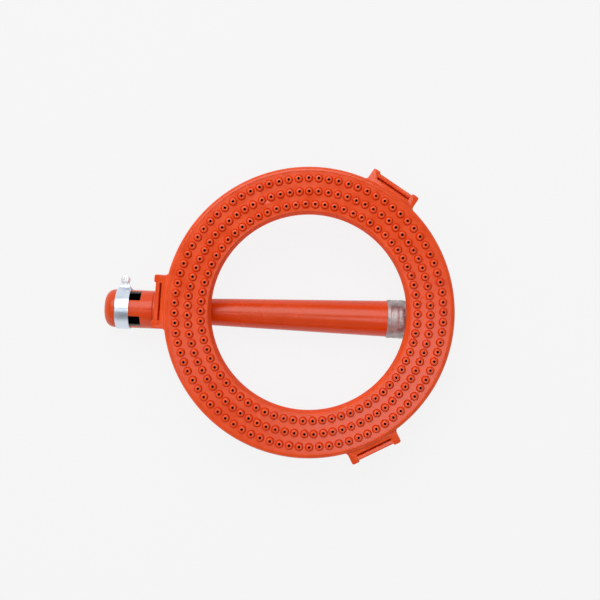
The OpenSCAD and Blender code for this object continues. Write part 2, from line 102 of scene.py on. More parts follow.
def mixColours(tree, mask, first, second):
    shades = [(*shade, 1) if isinstance(shade, tuple) else shade for shade in (first, second)]
    return wired(tree, "ShaderNodeMix", {0: mask, 6: shades[0], 7: shades[1]}, data_type="RGBA").outputs[2]


def seenDirectly(tree):
    # 1 for rays from the camera or a reflection, 0 for rays that light the object
    path = addNode(tree, "ShaderNodeLightPath")
    mirrored = mathNode(tree, "MAXIMUM", path.outputs["Is Glossy Ray"], path.outputs["Is Transmission Ray"])
    return mathNode(tree, "MAXIMUM", path.outputs["Is Camera Ray"], mirrored)


def litAndSeen(tree, lit, seen, outKind):
    # one shader lights the object, the other is what the camera and reflections see
    shaders = {0: seenDirectly(tree), 1: lit.outputs[0], 2: seen.outputs[0]}
    wired(tree, outKind, {"Surface": wired(tree, "ShaderNodeMixShader", shaders).outputs[0]})


view = {"place": (-10.01, 12.97, 954.0), "turn": 2.24, "lens": 54.0, "sensor": 36.0}
eye = bpy.data.cameras.new("photoCamera")
eye.lens = view["lens"]
eye.sensor_width = view["sensor"]
eye.clip_start = 0.01
scene.camera = placed("photoCamera", eye)
scene.camera.location = [v * mm for v in view["place"]]
scene.camera.rotation_euler = (0, 0, math.radians(view["turn"]))
scene.view_settings.view_transform = "Standard"

# each lamp has its place, size, power and tint
lightPlan = {
    "ceiling": (0.27, 0.275, 0.285), "horizon": (1.10, 1.18, 1.27), "horizonTop": (0.22, 0.62),
    "dimHorizon": (0.10, 0.11, 0.13), "dimFrom": (-0.15, 0.7), "backdrop": 0.925, "shadowShare": 0.07,
    "keyLamp": ((-0.33, 1.08, 1.70), (1.66, 1.5), 24.0, (1.0, 0.985, 0.96)),
    "topLamp": ((0.31, -0.31, 1.75), (0.64, 0.64), 3.6, (1.0, 1.0, 1.0)),
    "leftLamp": ((-0.60, -0.30, 1.74), (0.16, 1.3), 1.7, (1.0, 1.0, 1.0))}

world = bpy.data.worlds.new("paleRoom")
scene.world = world
worldTree = emptyTree(world)
# a pale sweep round the horizon, dim on the right, under a darker ceiling
direction = addNode(worldTree, "ShaderNodeTexCoord").outputs["Object"]
upwards = wired(worldTree, "ShaderNodeSeparateXYZ", {0: direction})
rise = ramp(worldTree, upwards.outputs["Z"], *lightPlan["horizonTop"], "SMOOTHSTEP")
dim = ramp(worldTree, upwards.outputs["X"], *lightPlan["dimFrom"], "SMOOTHSTEP")
sweep = mixColours(worldTree, dim, lightPlan["horizon"], lightPlan["dimHorizon"])
room = []
for low in (sweep, (lightPlan["backdrop"],) * 3):
    colour = mixColours(worldTree, rise, low, lightPlan["ceiling"])
    room.append(wired(worldTree, "ShaderNodeBackground", {"Color": colour}))
litAndSeen(worldTree, *room, "ShaderNodeOutputWorld")


def softLamp(name, place, size, power, tint):
    data = bpy.data.lights.new(name, "AREA")
    data.shape = "RECTANGLE"
    data.size, data.size_y = size
    data.energy = power
    data.color = tint
    lamp = placed(name, data)
    lamp.location = place
    lamp.rotation_euler = Vector(place).to_track_quat("Z", "Y").to_euler()


for lampName in ("keyLamp", "topLamp", "leftLamp"):
    softLamp(lampName, *lightPlan[lampName])

floorMesh = bpy.data.meshes.new("paleFloor")
reach = 6.0
floorZ = cadBox[0][2] - 0.0004
floorMesh.from_pydata([(-reach, -reach, floorZ), (reach, -reach, floorZ), (reach, reach, floorZ),
                       (-reach, reach, floorZ)], [], [(0, 1, 2, 3)])
floorObject = placed("paleFloor", floorMesh)
floorPaint = bpy.data.materials.new("paleFloor")
floorTree = emptyTree(floorPaint)
floorLit = wired(floorTree, "ShaderNodeBsdfDiffuse", {"Color": (0.9, 0.9, 0.9, 1)})
floorShadow = wired(floorTree, "ShaderNodeBsdfDiffuse", {"Color": (0.95, 0.95, 0.95, 1)})
floorGlow = wired(floorTree, "ShaderNodeEmission", {"Strength": lightPlan["backdrop"]})
floorSeen = wired(floorTree, "ShaderNodeMixShader", {
    0: lightPlan["shadowShare"], 1: floorGlow.outputs[0], 2: floorShadow.outputs[0]})
litAndSeen(floorTree, floorLit, floorSeen, "ShaderNodeOutputMaterial")
floorMesh.materials.append(floorPaint)
print("camera, floor and light set")


# the shader groups that the finishes share
def newGroup(name, inputs, outputs):
    group = bpy.data.node_groups.new(name, "ShaderNodeTree")
    for label, value in inputs:
        socket = group.interface.new_socket(label, in_out="INPUT", socket_type="NodeSocketFloat")
        socket.default_value = value
    for label in outputs:
        group.interface.new_socket(label, in_out="OUTPUT", socket_type="NodeSocketFloat")
    return group, addNode(group, "NodeGroupInput"), addNode(group, "NodeGroupOutput")


def castGrainGroup():
    # the fine orange-peel and slow swell of a painted casting
    sizes = [("Grain Scale", 900.0), ("Swell Scale", 90.0), ("Swell Share", 0.5)]
    group, given, out = newGroup("castGrain", sizes, ["Height", "Mottle"])
    place = addNode(group, "ShaderNodeTexCoord").outputs["Object"]
    fine, slow = [wired(group, "ShaderNodeTexNoise", {
        "Vector": place, "Scale": given.outputs[scale], "Detail": detail}).outputs[0]
        for scale, detail in (("Grain Scale", 3.0), ("Swell Scale", 2.0))]
    blend = wired(group, "ShaderNodeMix", {
        "Factor": given.outputs["Swell Share"], "A": fine, "B": slow}, data_type="FLOAT")
    link(group, blend.outputs["Result"], out.inputs["Height"])
    link(group, ramp(group, slow, 0.32, 0.68), out.inputs["Mottle"])
    return group


def wornSpotsGroup():
    # ragged spots where a coat is gone, only where the piece's own wear value allows them
    group, given, out = newGroup("wornSpots", [("Spot Scale", 420.0), ("Threshold", 0.5)], ["Mask"])
    place = addNode(group, "ShaderNodeTexCoord").outputs["Object"]
    spots = wired(group, "ShaderNodeTexNoise", {
        "Vector": place, "Scale": given.outputs["Spot Scale"], "Detail": 5.0, "Roughness": 0.65})
    wear = addNode(group, "ShaderNodeAttribute", attribute_name="wear")
    both = mathNode(group, "ADD", spots.outputs[0], wear.outputs["Fac"])
    over = mathNode(group, "SUBTRACT", both, given.outputs["Threshold"])
    link(group, ramp(group, over, 0.5, 0.56), out.inputs["Mask"])
    return group


castGrain = castGrainGroup()
wornSpots = wornSpotsGroup()


def grainFinish(name, deep, light, grain, rough, bump, worn=False, **constants):
    # grain is the fine scale, the slow scale and the slow one's share, and bump is depth and strength
    material = bpy.data.materials.new(name)
    tree = emptyTree(material)
    surface = wired(tree, "ShaderNodeGroup", {
        "Grain Scale": grain[0], "Swell Scale": grain[1], "Swell Share": grain[2]}, node_tree=castGrain)
    mottle = surface.outputs["Mottle"]
    colour = mixColours(tree, mottle, deep, light)
    if worn:
        spots = wired(tree, "ShaderNodeGroup", {"Spot Scale": 420.0, "Threshold": 0.62}, node_tree=wornSpots)
        iron = mixColours(tree, mottle, (0.05, 0.03, 0.025), (0.13, 0.07, 0.05))
        colour = mixColours(tree, spots.outputs["Mask"], colour, iron)
    spread = wired(tree, "ShaderNodeMapRange", {"Value": mottle, "To Min": rough[0], "To Max": rough[1]})
    relief = wired(tree, "ShaderNodeBump", {
        "Distance": bump[0], "Strength": bump[1], "Height": surface.outputs["Height"]})
    shader = wired(tree, "ShaderNodeBsdfPrincipled", {
        "Base Color": colour, "Roughness": spread.outputs[0], "Normal": relief.outputs[0]})
    for label, value in constants.items():
        shader.inputs[label.replace("_", " ")].default_value = value
    wired(tree, "ShaderNodeOutputMaterial", {"Surface": shader.outputs[0]})
    return material


def paint(name, deep, light, grain, depth, rough, sheen):
    return grainFinish(name, deep, light, (*grain, 0.55), (rough - 0.04, rough + 0.05), (depth, 0.55),
                       worn=True, Specular_IOR_Level=sheen)


castPaint = paint("castPaint", (0.79, 0.062, 0.002), (0.88, 0.080, 0.005), (700, 70), 0.00003, 0.19, 0.42)
tubePaint = paint("tubePaint", (0.70, 0.056, 0.002), (0.74, 0.064, 0.003), (500, 40), 0.00004, 0.24, 0.42)
# a brighter and duller copy of the paint: painted light on the steep walls, the slots and the side of the
# open middle
dullLitPaint = paint("dullLitPaint", (0.95, 0.082, 0.004), (1.0, 0.100, 0.006), (900, 90), 0.00020, 0.7, 0.12)
# a darker copy of the paint without sheen: painted shade on the steep flanks of the bosses
flankShadePaint = paint("flankShadePaint", (0.66, 0.034, 0.001), (0.76, 0.044, 0.002), (900, 90), 0.00008, 0.6, 0.0)
# bright zinc plate with the bluish patches of its passivation
zincPlate = grainFinish("zincPlate", (0.68, 0.75, 0.85), (0.78, 0.84, 0.92), (1500, 90, 0.6), (0.29, 0.36),
                        (0.00002, 0.35), Metallic=1.0)
brightZinc = grainFinish("brightZinc", (0.90, 0.92, 0.95), (0.96, 0.97, 0.98), (1500, 90, 0.6), (0.5, 0.57),
                         (0.00002, 0.35), Metallic=1.0)
# bare weld and ground steel, with straw and grey patches
bareWeld = grainFinish("bareWeld", (0.29, 0.265, 0.27), (0.54, 0.51, 0.52), (700, 150, 0.6), (0.4, 0.56),
                       (0.00016, 0.7), Metallic=0.85)
# sawn and milled edges left bare
cutSteel = grainFinish("cutSteel", (0.30, 0.28, 0.27), (0.56, 0.54, 0.53), (1600, 300, 0.4), (0.34, 0.5),
                       (0.00008, 0.6), Metallic=0.9)
# near black painted shade for the drillings, the gas chamber and the inside of the pipes
shadeBlackInside = grainFinish("shadeBlackInside", (0.004, 0.003, 0.004), (0.012, 0.008, 0.009), (1200, 200, 0.5),
                         (0.6, 0.8), (0.0001, 0.6), Specular_IOR_Level=0.0)
jetBrass = grainFinish("jetBrass", (0.55, 0.36, 0.11), (0.68, 0.47, 0.17), (1800, 200, 0.4), (0.2, 0.32),
                       (0.00004, 0.5), Metallic=1.0)
washerCopper = grainFinish("washerCopper", (0.55, 0.23, 0.12), (0.68, 0.32, 0.18), (1800, 200, 0.4),
                           (0.2, 0.32), (0.00004, 0.5), Metallic=1.0)
paintedCement = grainFinish("paintedCement", (0.45, 0.040, 0.010), (0.66, 0.062, 0.014), (1300, 220, 0.4),
                            (0.55, 0.75), (0.0003, 0.8), Specular_IOR_Level=0.3)
print("finishes made")


def rounded(corners, steps):
    # turns corners of (a, b, radius) into a closed line with round corners
    points = []
    for i, (a, b, r) in enumerate(corners):
        here = Vector((a, b))
        if r <= 0:
            points.append((a, b))
            continue
        back = (Vector(corners[i - 1][:2]) - here).normalized()
        ahead = (Vector(corners[(i + 1) % len(corners)][:2]) - here).normalized()
        half = back.angle(ahead) / 2
        centre = here + (back + ahead).normalized() * (r / math.sin(half))
        first = here + back * (r / math.tan(half)) - centre
        last = here + ahead * (r / math.tan(half)) - centre
        turn = first.angle_signed(last)
        for k in range(steps + 1):
            arm = Matrix.Rotation(-turn * k / steps, 2) @ first
            points.append((centre.x + arm.x, centre.y + arm.y))
    return points


def meshFrom(name, verts, faces, finish=True):
    mesh = bpy.data.meshes.new(name)
    mesh.from_pydata([[v * mm for v in p] for p in verts], [], faces)
    if finish:
        closeUp(mesh)
    return mesh


def closeUp(mesh, recalc=True):
    # merges doubles, turns faces outwards and keeps real edges crisp
    crisp = math.radians(38.0)
    work = bmesh.new()
    work.from_mesh(mesh)
    if recalc:
        bmesh.ops.remove_doubles(work, verts=work.verts, dist=0.000004)
        bmesh.ops.recalc_face_normals(work, faces=work.faces)
    for face in work.faces:
        face.smooth = True
    for edge in work.edges:
        if len(edge.link_faces) == 2:
            edge.smooth = edge.calc_face_angle(0) < crisp
    work.to_mesh(mesh)
    work.free()


def turned(name, profile, steps, closed=True, about="ring", wobble=None):
    # turns (radius, z) about the ring's axis, or (x, radius) about the tube's axis
    verts = []
    for i in range(steps):
        t = 2 * math.pi * i / steps
        for a, b in profile:
            if about == "ring":
                verts.append((a * math.cos(t), a * math.sin(t), b))
            else:
                r = b + (wobble(a, t) if wobble else 0)
                verts.append((a, axisY + r * math.sin(t), axisZ + r * math.cos(t)))
    count = len(profile)
    faces = []
    for i in range(steps):
        j = (i + 1) % steps
        for k in range(count if closed else count - 1):
            m = (k + 1) % count
            faces.append((i * count + k, j * count + k, j * count + m, i * count + m))
    return meshFrom(name, verts, faces)


def inset(line, amount):
    # moves a closed line to its left, into the material
    shifted = []
    for i, here in enumerate(line):
        before = (Vector(here) - Vector(line[i - 1])).normalized()
        after = (Vector(line[(i + 1) % len(line)]) - Vector(here)).normalized()
        left = Vector((-before.y - after.y, before.x + after.x)) / (1 + before.dot(after))
        shifted.append((here[0] + left.x * amount, here[1] + left.y * amount))
    return shifted


def flatPlate(name, outline, holes, low, high, bevel, holeBevel=None):
    # a plate of any outline with rounded upper and lower edges
    steps = 3

    def area(line):
        return sum(p[0] * q[1] - q[0] * p[1] for p, q in zip(line, line[1:] + line[:1]))

    loops = [line if area(line) * sign > 0 else line[::-1]
             for line, sign in [(outline, 1)] + [(hole, -1) for hole in holes]]
    turns = [math.pi / 2 * k / steps for k in range(steps + 1)]
    levels = [(bevel * (1 - math.sin(t)), low + bevel * (1 - math.cos(t))) for t in turns]
    levels += [(amount, low + high - z) for amount, z in reversed(levels)]
    holeShare = 1.0 if holeBevel is None else holeBevel / bevel
    verts = []
    faces = []
    ends = [[], []]
    for number, line in enumerate(loops):
        start = len(verts)
        count = len(line)
        share = holeShare if number else 1.0
        for k, (amount, z) in enumerate(levels):
            nearest = low if z < (low + high) / 2 else high
            ring = [(x, y, nearest + (z - nearest) * share) for x, y in inset(line, amount * share)]
            if k in (0, len(levels) - 1):
                ends[k > 0].append(([Vector(p) for p in ring], len(verts)))
            verts += ring
        for k in range(len(levels) - 1):
            for i in range(count):
                j = (i + 1) % count
                here = start + k * count
                faces.append((here + i, here + j, here + count + j, here + count + i))
    for side in ends:
        numbers = [first + i for ring, first in side for i in range(len(ring))]
        for triangle in geometry.tessellate_polygon([ring for ring, first in side]):
            faces.append(tuple(numbers[i] for i in triangle))
    return meshFrom(name, verts, faces)


def plainMesh(holder):
    # the evaluated object as a mesh of its own, with the holder removed
    graph = bpy.context.evaluated_depsgraph_get()
    graph.update()
    mesh = bpy.data.meshes.new_from_object(holder.evaluated_get(graph))
    bpy.data.objects.remove(holder)
    return mesh


def joined(name, parts):
    # one mesh from several, each with the number of its finish
    work = bmesh.new()
    for mesh, finish in parts:
        before = len(work.faces)
        work.from_mesh(mesh)
        work.faces.ensure_lookup_table()
        for face in work.faces[before:]:
            face.material_index = finish
    mesh = bpy.data.meshes.new(name)
    work.to_mesh(mesh)
    work.free()
    return mesh


def addPiece(name, mesh, body, slotName, finishes, *nodes):
    # nodes are the CAD nodes that the piece stands for
    chosen = [face.material_index for face in mesh.polygons]
    mesh.materials.clear()
    for finish in finishes:
        mesh.materials.append(finish)
    mesh.polygons.foreach_set("material_index", chosen)
    piece = placed(name, mesh)
    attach(piece, body)
    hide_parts(*nodes)


def cleanBevel(mesh, width, angle):
    # rounds every edge that is sharper than the angle
    holder = placed("bevelHolder", mesh)
    bevel = holder.modifiers.new("edges", "BEVEL")
    bevel.width = width * mm
    bevel.segments = 2
    bevel.limit_method = "ANGLE"
    bevel.angle_limit = math.radians(angle)
    result = plainMesh(holder)
    closeUp(result, recalc=False)
    return result


def moved(mesh, x=0.0, y=0.0, z=0.0, turn=0.0):
    mesh.transform(Matrix.Rotation(math.radians(turn), 4, "Z"))
    mesh.transform(Matrix.Translation((x * mm, y * mm, z * mm)))
    return mesh


def circle(radius, steps, x=0.0, y=0.0):
    turns = [2 * math.pi * i / steps for i in range(steps)]
    return [(x + radius * math.cos(t), y + radius * math.sin(t)) for t in turns]


# geometry node trees are built, run once and turned into plain meshes
def newTree(name, inputs):
    tree = bpy.data.node_groups.new(name, "GeometryNodeTree")
    tree.interface.new_socket("Geometry", in_out="INPUT", socket_type="NodeSocketGeometry")
    for label, kind, value in inputs:
        socket = tree.interface.new_socket(label, in_out="INPUT", socket_type="NodeSocket" + kind)
        if value is not None:
            socket.default_value = value
    tree.interface.new_socket("Geometry", in_out="OUTPUT", socket_type="NodeSocketGeometry")
    return tree, addNode(tree, "NodeGroupInput"), addNode(tree, "NodeGroupOutput")


def runTree(name, tree, values, start=None):
    # gives the tree its values by socket identifier and returns the plain mesh
    holder = placed(name, start or bpy.data.meshes.new(name))
    modifier = holder.modifiers.new(name, "NODES")
    modifier.node_group = tree
    for item in tree.interface.items_tree:
        if item.item_type == "SOCKET" and item.in_out == "INPUT" and item.name in values:
            modifier[item.identifier] = values[item.name]
    return plainMesh(holder)


def closeTree(tree, result, given, out):
    # makes the result real and gives it the finish that the tree was given
    real = wired(tree, "GeometryNodeRealizeInstances", {0: result})
    coat = wired(tree, "GeometryNodeSetMaterial", {
        "Geometry": real.outputs[0], "Material": given.outputs["Finish"]})
    link(tree, coat.outputs[0], out.inputs[0])


# the ring's casting and its three leg sockets, in millimetres and degrees
trough = {
    "rim": 155.3, "hole": 107.0, "recess": 150.2, "ledge": 146.5, "chamberIn": 111.5, "depth": 30.5,
    "rimTop": 0.3, "rimRound": 4.2, "bed": -6.8, "floor": -26.0,
    "socketTurn": 58.04, "slotIn": 158.5, "slotOut": 160.7, "slotHalf": 20.2, "socketOut": 164.9,
    "cheekOut": 166.79, "cheekWidth": 8.5, "cheekRound": 2.2, "hollow": 5.0, "root": 148.0,
    "socketDepth": 26.0, "socketTop": -3.0, "fallFrom": 158.0, "fall": 0.07, "fallAbove": -12.0,
    "wallsWithin": 152.0, "slotZone": (157.6, 163.8), "slotBelow": -4.0,
    "chamberZone": (111.2, 146.8), "chamberHeights": (-26.2, -6.9), "chipReach": 8.0, "chipShare": 0.56}


def ringCasting(c):
    profile = rounded([
        (c["hole"], c["bed"], 0.4), (c["hole"] - 0.5, -c["depth"], 2.0), (c["rim"] - 3.5, -c["depth"], 5.0),
        (c["rim"], -6.0, 1.5), (c["rim"], c["rimTop"], c["rimRound"]), (c["recess"], c["rimTop"], 0.15),
        (c["recess"], c["bed"], 0.3), (c["ledge"], c["bed"], 0.3), (c["ledge"], c["floor"], 4.0),
        (c["chamberIn"], c["floor"], 4.0), (c["chamberIn"], c["bed"], 0.3)], 5)
    return turned("ringCasting", profile, 240)


def socketOutline(c):
    # the cheeks leave the rim in a hollow and stand either side of the slot
    half = c["slotHalf"] + c["cheekWidth"]
    foot = half + c["hollow"]
    meet = math.sqrt(c["rim"] ** 2 - foot ** 2)
    tip = c["cheekRound"]
    side = [(c["root"], foot, 0), (meet - 0.6, foot, 0), (meet + 0.6, half, c["hollow"] * 0.9),
            (c["cheekOut"], half, tip), (c["cheekOut"], c["slotHalf"], tip * 0.84),
            (c["socketOut"], c["slotHalf"], 0)]
    return rounded(side + [(x, -y, r) for x, y, r in reversed(side)], 6)


def slotOutline(c):
    corners = [(c["slotIn"], -c["slotHalf"], 0.8), (c["slotOut"], -c["slotHalf"], 0.8),
               (c["slotOut"], c["slotHalf"], 0.8), (c["slotIn"], c["slotHalf"], 0.8)]
    return rounded(corners, 3)


def markWear(mesh, value):
    # stores how readily the coat wears at each point
    wear = mesh.attributes.new("wear", "FLOAT", "POINT")
    wear.data.foreach_set("value", [value(v.co) for v in mesh.vertices])


parts = [(ringCasting(trough), 0)]
for i in range(3):
    socket = flatPlate("legSocket", socketOutline(trough), [slotOutline(trough)], -trough["socketDepth"],
                       trough["socketTop"], 0.9, holeBevel=0.35)
    for vertex in socket.vertices:  # the tops fall outwards
        if vertex.co.z > trough["fallAbove"] * mm:
            vertex.co.z -= (vertex.co.x - trough["fallFrom"] * mm) * trough["fall"]
    parts.append((moved(socket, turn=trough["socketTurn"] + 120 * i), 0))
troughMesh = joined("troughCasting", parts)
for face in troughMesh.polygons:
    middle = face.center / mm
    spread = math.hypot(middle.x, middle.y)
    outwards = abs(face.normal.x * middle.x + face.normal.y * middle.y) / spread
    inSlot = trough["slotZone"][0] < spread < trough["slotZone"][1] and middle.z < trough["slotBelow"]
    inChamber = (trough["chamberZone"][0] < spread < trough["chamberZone"][1]
                 and trough["chamberHeights"][0] < middle.z < trough["chamberHeights"][1])
    # the steep walls, the slots and the underside get the brighter copy of the paint, a painted light
    if face.normal.z < -0.5 or (abs(face.normal.z) < 0.25
                                and (spread < trough["wallsWithin"] or outwards < 0.95 or inSlot)):
        face.material_index = 1
    if inChamber and face.normal.z > -0.2:
        face.material_index = 2  # the gas chamber, in near black painted shade


def troughWear(p):
    # the coat chips at the outer tips of the cheeks
    r = math.hypot(p.x, p.y) / mm
    turn = (math.degrees(math.atan2(p.y, p.x)) - trough["socketTurn"] + 60) % 120 - 60
    side = abs(math.radians(turn) * r) - trough["slotHalf"]
    away = math.hypot(r - trough["cheekOut"] + 2.0, (p.z / mm - trough["socketTop"]) * 0.6)
    tip = 1.0 - min(1.0, away / trough["chipReach"])
    return trough["chipShare"] * tip if side > -2.0 else 0.0


markWear(troughMesh, troughWear)
addPiece("troughCasting", troughMesh, "burner", "cast_paint", [castPaint, dullLitPaint, shadeBlackInside],
         "burner_trough")
print("trough made")


# the port ring with its three rows of drilled bosses: radius, count and first angle of each
ports = {
    "outer": 150.2, "inner": 107.0, "thickness": 6.0, "edge": 1.6, "bevel": 0.15,
    "rows": [(115.0, 70, 1.49), (128.75, 79, 1.07), (142.5, 84, 2.34)],
    "bossFoot": 4.75, "bossTop": 2.45, "bossHeight": 2.6, "port": 1.25, "segments": 14,
    "flankIn": 1.15, "flankShare": 0.77, "shoulderOut": 0.75, "shoulderShare": 0.93, "topIn": 0.1,
    "mouthOut": 0.22, "mouthDepth": 0.5,
    "jitter": 0.26, "sizeSpread": 0.02, "seed": 7,
    "padRadius": 4.0, "padHeight": 0.5, "padSink": 0.1, "padPlace": 122.5, "padTurns": (8.9, 113.1, 245.7),
    "edgeWithin": 107.5, "boredWithin": 148.5, "boreBelow": -1.0, "mouthAbove": 2.2,
    "flankHeights": (0.3, 1.6)}


def bossMesh(c):
    # a steep flank, a turned-in shoulder and a flat top with a chamfered drilling
    high = c["bossHeight"]
    profile = [(c["bossFoot"], 0), (c["bossFoot"] - c["flankIn"], high * c["flankShare"]),
               (c["bossTop"] + c["shoulderOut"], high * c["shoulderShare"]),
               (c["bossTop"] - c["topIn"], high), (c["port"] + c["mouthOut"], high),
               (c["port"], high - c["mouthDepth"]), (c["port"], -c["thickness"])]
    return turned("portBoss", profile, c["segments"], closed=False)


def rowGroup():
    # points of one row on its circle, each turned to face outwards and moved a little
    group = bpy.data.node_groups.new("portRow", "GeometryNodeTree")
    for label, kind in (("Count", "Int"), ("Radius", "Float"), ("Phase", "Float"), ("Jitter", "Float"),
                        ("Size Spread", "Float"), ("Seed", "Int"), ("Boss", "Geometry")):
        group.interface.new_socket(label, in_out="INPUT", socket_type="NodeSocket" + kind)
    group.interface.new_socket("Bosses", in_out="OUTPUT", socket_type="NodeSocketGeometry")
    given = addNode(group, "NodeGroupInput")
    out = addNode(group, "NodeGroupOutput")
    count, radius, phase, jitter, sizeSpread, seed, boss = list(given.outputs)[:7]

    def chance(low, high, offset):
        draw = {2: low, 3: high, "Seed": mathNode(group, "ADD", seed, offset)}
        return wired(group, "FunctionNodeRandomValue", draw, data_type="FLOAT").outputs[1]

    def vector(x, y, z):
        return wired(group, "ShaderNodeCombineXYZ", {"X": x, "Y": y, "Z": z}).outputs[0]

    index = addNode(group, "GeometryNodeInputIndex").outputs[0]
    share = mathNode(group, "DIVIDE", mathNode(group, "MULTIPLY", index, 2 * math.pi), count)
    back = mathNode(group, "MULTIPLY", jitter, -1.0)
    reach = mathNode(group, "ADD", radius, chance(back, jitter, 0))
    shift = mathNode(group, "DIVIDE", chance(back, jitter, 11), radius)
    turn = mathNode(group, "ADD", mathNode(group, "ADD", share, phase), shift)
    size = chance(mathNode(group, "SUBTRACT", 1.0, sizeSpread), mathNode(group, "ADD", 1.0, sizeSpread), 23)
    place = vector(mathNode(group, "MULTIPLY", reach, mathNode(group, "COSINE", turn, 0.0)),
                   mathNode(group, "MULTIPLY", reach, mathNode(group, "SINE", turn, 0.0)), 0.0)
    points = wired(group, "GeometryNodePoints", {"Count": count, "Position": place})
    copies = wired(group, "GeometryNodeInstanceOnPoints", {
        "Points": points.outputs[0], "Instance": boss, "Rotation": vector(0.0, 0.0, turn),
        "Scale": vector(size, size, 1.0)})
    link(group, copies.outputs[0], out.inputs[0])
    return group


def portRingTree(rowCount):
    inputs = [("Boss", "Object", None), ("Finish", "Material", None), ("Thickness", "Float", 0.006),
              ("Jitter", "Float", 0.0), ("Size Spread", "Float", 0.0), ("Seed", "Int", 0)]
    for i in range(rowCount):
        inputs += [(f"Row {i + 1} Radius", "Float", 0.1), (f"Row {i + 1} Count", "Int", 60),
                   (f"Row {i + 1} Phase", "Float", 0.0)]
    tree, given, out = newTree("portRing", inputs)
    boss = wired(tree, "GeometryNodeObjectInfo", {"Object": given.outputs["Boss"]})
    rowNodes = rowGroup()
    everything = wired(tree, "GeometryNodeJoinGeometry", {0: given.outputs["Geometry"]})
    for i in range(rowCount):
        sources = {label: given.outputs[f"Row {i + 1} {label}"] for label in ("Radius", "Count", "Phase")}
        sources.update({label: given.outputs[label] for label in ("Jitter", "Size Spread")})
        sources["Boss"] = boss.outputs["Geometry"]
        sources["Seed"] = mathNode(tree, "ADD", given.outputs["Seed"], i)
        row = wired(tree, "GeometryNodeGroup", sources, node_tree=rowNodes)
        link(tree, row.outputs[0], everything.inputs[0])
    real = wired(tree, "GeometryNodeRealizeInstances", {0: everything.outputs[0]}).outputs[0]
    # the open edges of sides and bosses bound the upper and the lower face
    neighbours = addNode(tree, "GeometryNodeInputMeshEdgeNeighbors").outputs[0]
    position = addNode(tree, "GeometryNodeInputPosition").outputs[0]
    height = wired(tree, "ShaderNodeSeparateXYZ", {0: position}).outputs["Z"]
    middle = mathNode(tree, "MULTIPLY", given.outputs["Thickness"], -0.5)
    single = wired(tree, "ShaderNodeMath", {0: neighbours, 1: 1.0, 2: 0.1}, operation="COMPARE").outputs[0]
    whole = wired(tree, "GeometryNodeJoinGeometry", {0: real})
    for side in ("GREATER_THAN", "LESS_THAN"):
        chosen = mathNode(tree, "MULTIPLY", single, mathNode(tree, side, height, middle))
        outline = wired(tree, "GeometryNodeMeshToCurve", {"Mesh": real, "Selection": chosen})
        fill = wired(tree, "GeometryNodeFillCurve", {0: outline.outputs[0]})
        if side == "LESS_THAN":
            down = mathNode(tree, "MULTIPLY", given.outputs["Thickness"], -1.0)
            lower = wired(tree, "ShaderNodeCombineXYZ", {"Z": down})
            fill = wired(tree, "GeometryNodeTransform", {
                "Geometry": fill.outputs[0], "Translation": lower.outputs[0]})
        link(tree, fill.outputs[0], whole.inputs[0])
    merge = wired(tree, "GeometryNodeMergeByDistance", {0: whole.outputs[0], "Distance": 0.00001})
    closeTree(tree, merge.outputs[0], given, out)
    return tree


def portRingSides(c):
    outer = turned("outerSide", [(c["outer"], -c["thickness"]), (c["outer"], -c["bevel"]),
                                 (c["outer"] - c["bevel"], 0)], 180, closed=False)
    curve = [(c["inner"] + c["edge"] * (1 - math.sin(t)), -c["edge"] * (1 - math.cos(t)))
             for t in [math.pi / 2 * k / 5 for k in range(6)]]
    inner = turned("innerSide", curve + [(c["inner"], -c["thickness"])], 180, closed=False)
    return joined("portRingSides", [(outer, 0), (inner, 0)])


bossHolder = placed("portBoss", bossMesh(ports))
values = {"Boss": bossHolder, "Finish": castPaint, "Thickness": ports["thickness"] * mm,
          "Jitter": ports["jitter"] * mm, "Size Spread": ports["sizeSpread"], "Seed": ports["seed"]}
for i, (radius, count, phase) in enumerate(ports["rows"]):
    values[f"Row {i + 1} Radius"] = radius * mm
    values[f"Row {i + 1} Count"] = count
    values[f"Row {i + 1} Phase"] = math.radians(phase)
portMesh = runTree("portRing", portRingTree(len(ports["rows"])), values, portRingSides(ports))
bpy.data.objects.remove(bossHolder)
closeUp(portMesh)
parts = [(portMesh, 0)]
padRadius, padHeight = ports["padRadius"], ports["padHeight"]
padProfile = rounded([(0.01, 0.0, 0), (padRadius, 0.0, 0), (padRadius, padHeight, 0.35),
                      (0.01, padHeight, 0)], 3)
for turn in ports["padTurns"]:
    pad = moved(turned("fixingPad", padProfile, 32), x=ports["padPlace"], z=-ports["padSink"])
    parts.append((moved(pad, turn=turn), 0))
portRingMesh = joined("portRing", parts)
for face in portRingMesh.polygons:
    middle = face.center / mm
    spread = math.hypot(middle.x, middle.y)
    upright = abs(face.normal.z) < 0.2
    inBore = upright and middle.z < ports["boreBelow"]
    inMouth = face.normal.z < 0.6 and middle.z > ports["mouthAbove"]
    if upright and spread < ports["edgeWithin"]:
        face.material_index = 1  # the side of the open middle, in the brighter copy of the paint: painted light
    elif spread < ports["boredWithin"] and (inBore or inMouth):
        face.material_index = 2  # drillings and their chamfers, in near black painted shade
    elif 0.2 < face.normal.z < 0.7 and ports["flankHeights"][0] < middle.z < ports["flankHeights"][1]:
        face.material_index = 3  # the steep flanks of the bosses, in painted shade
addPiece("portRing", portRingMesh, "burner", "cast_paint", [castPaint, dullLitPaint, shadeBlackInside, flankShadePaint],
         "port_ring")
print("port ring made:", len(portMesh.polygons), "faces")


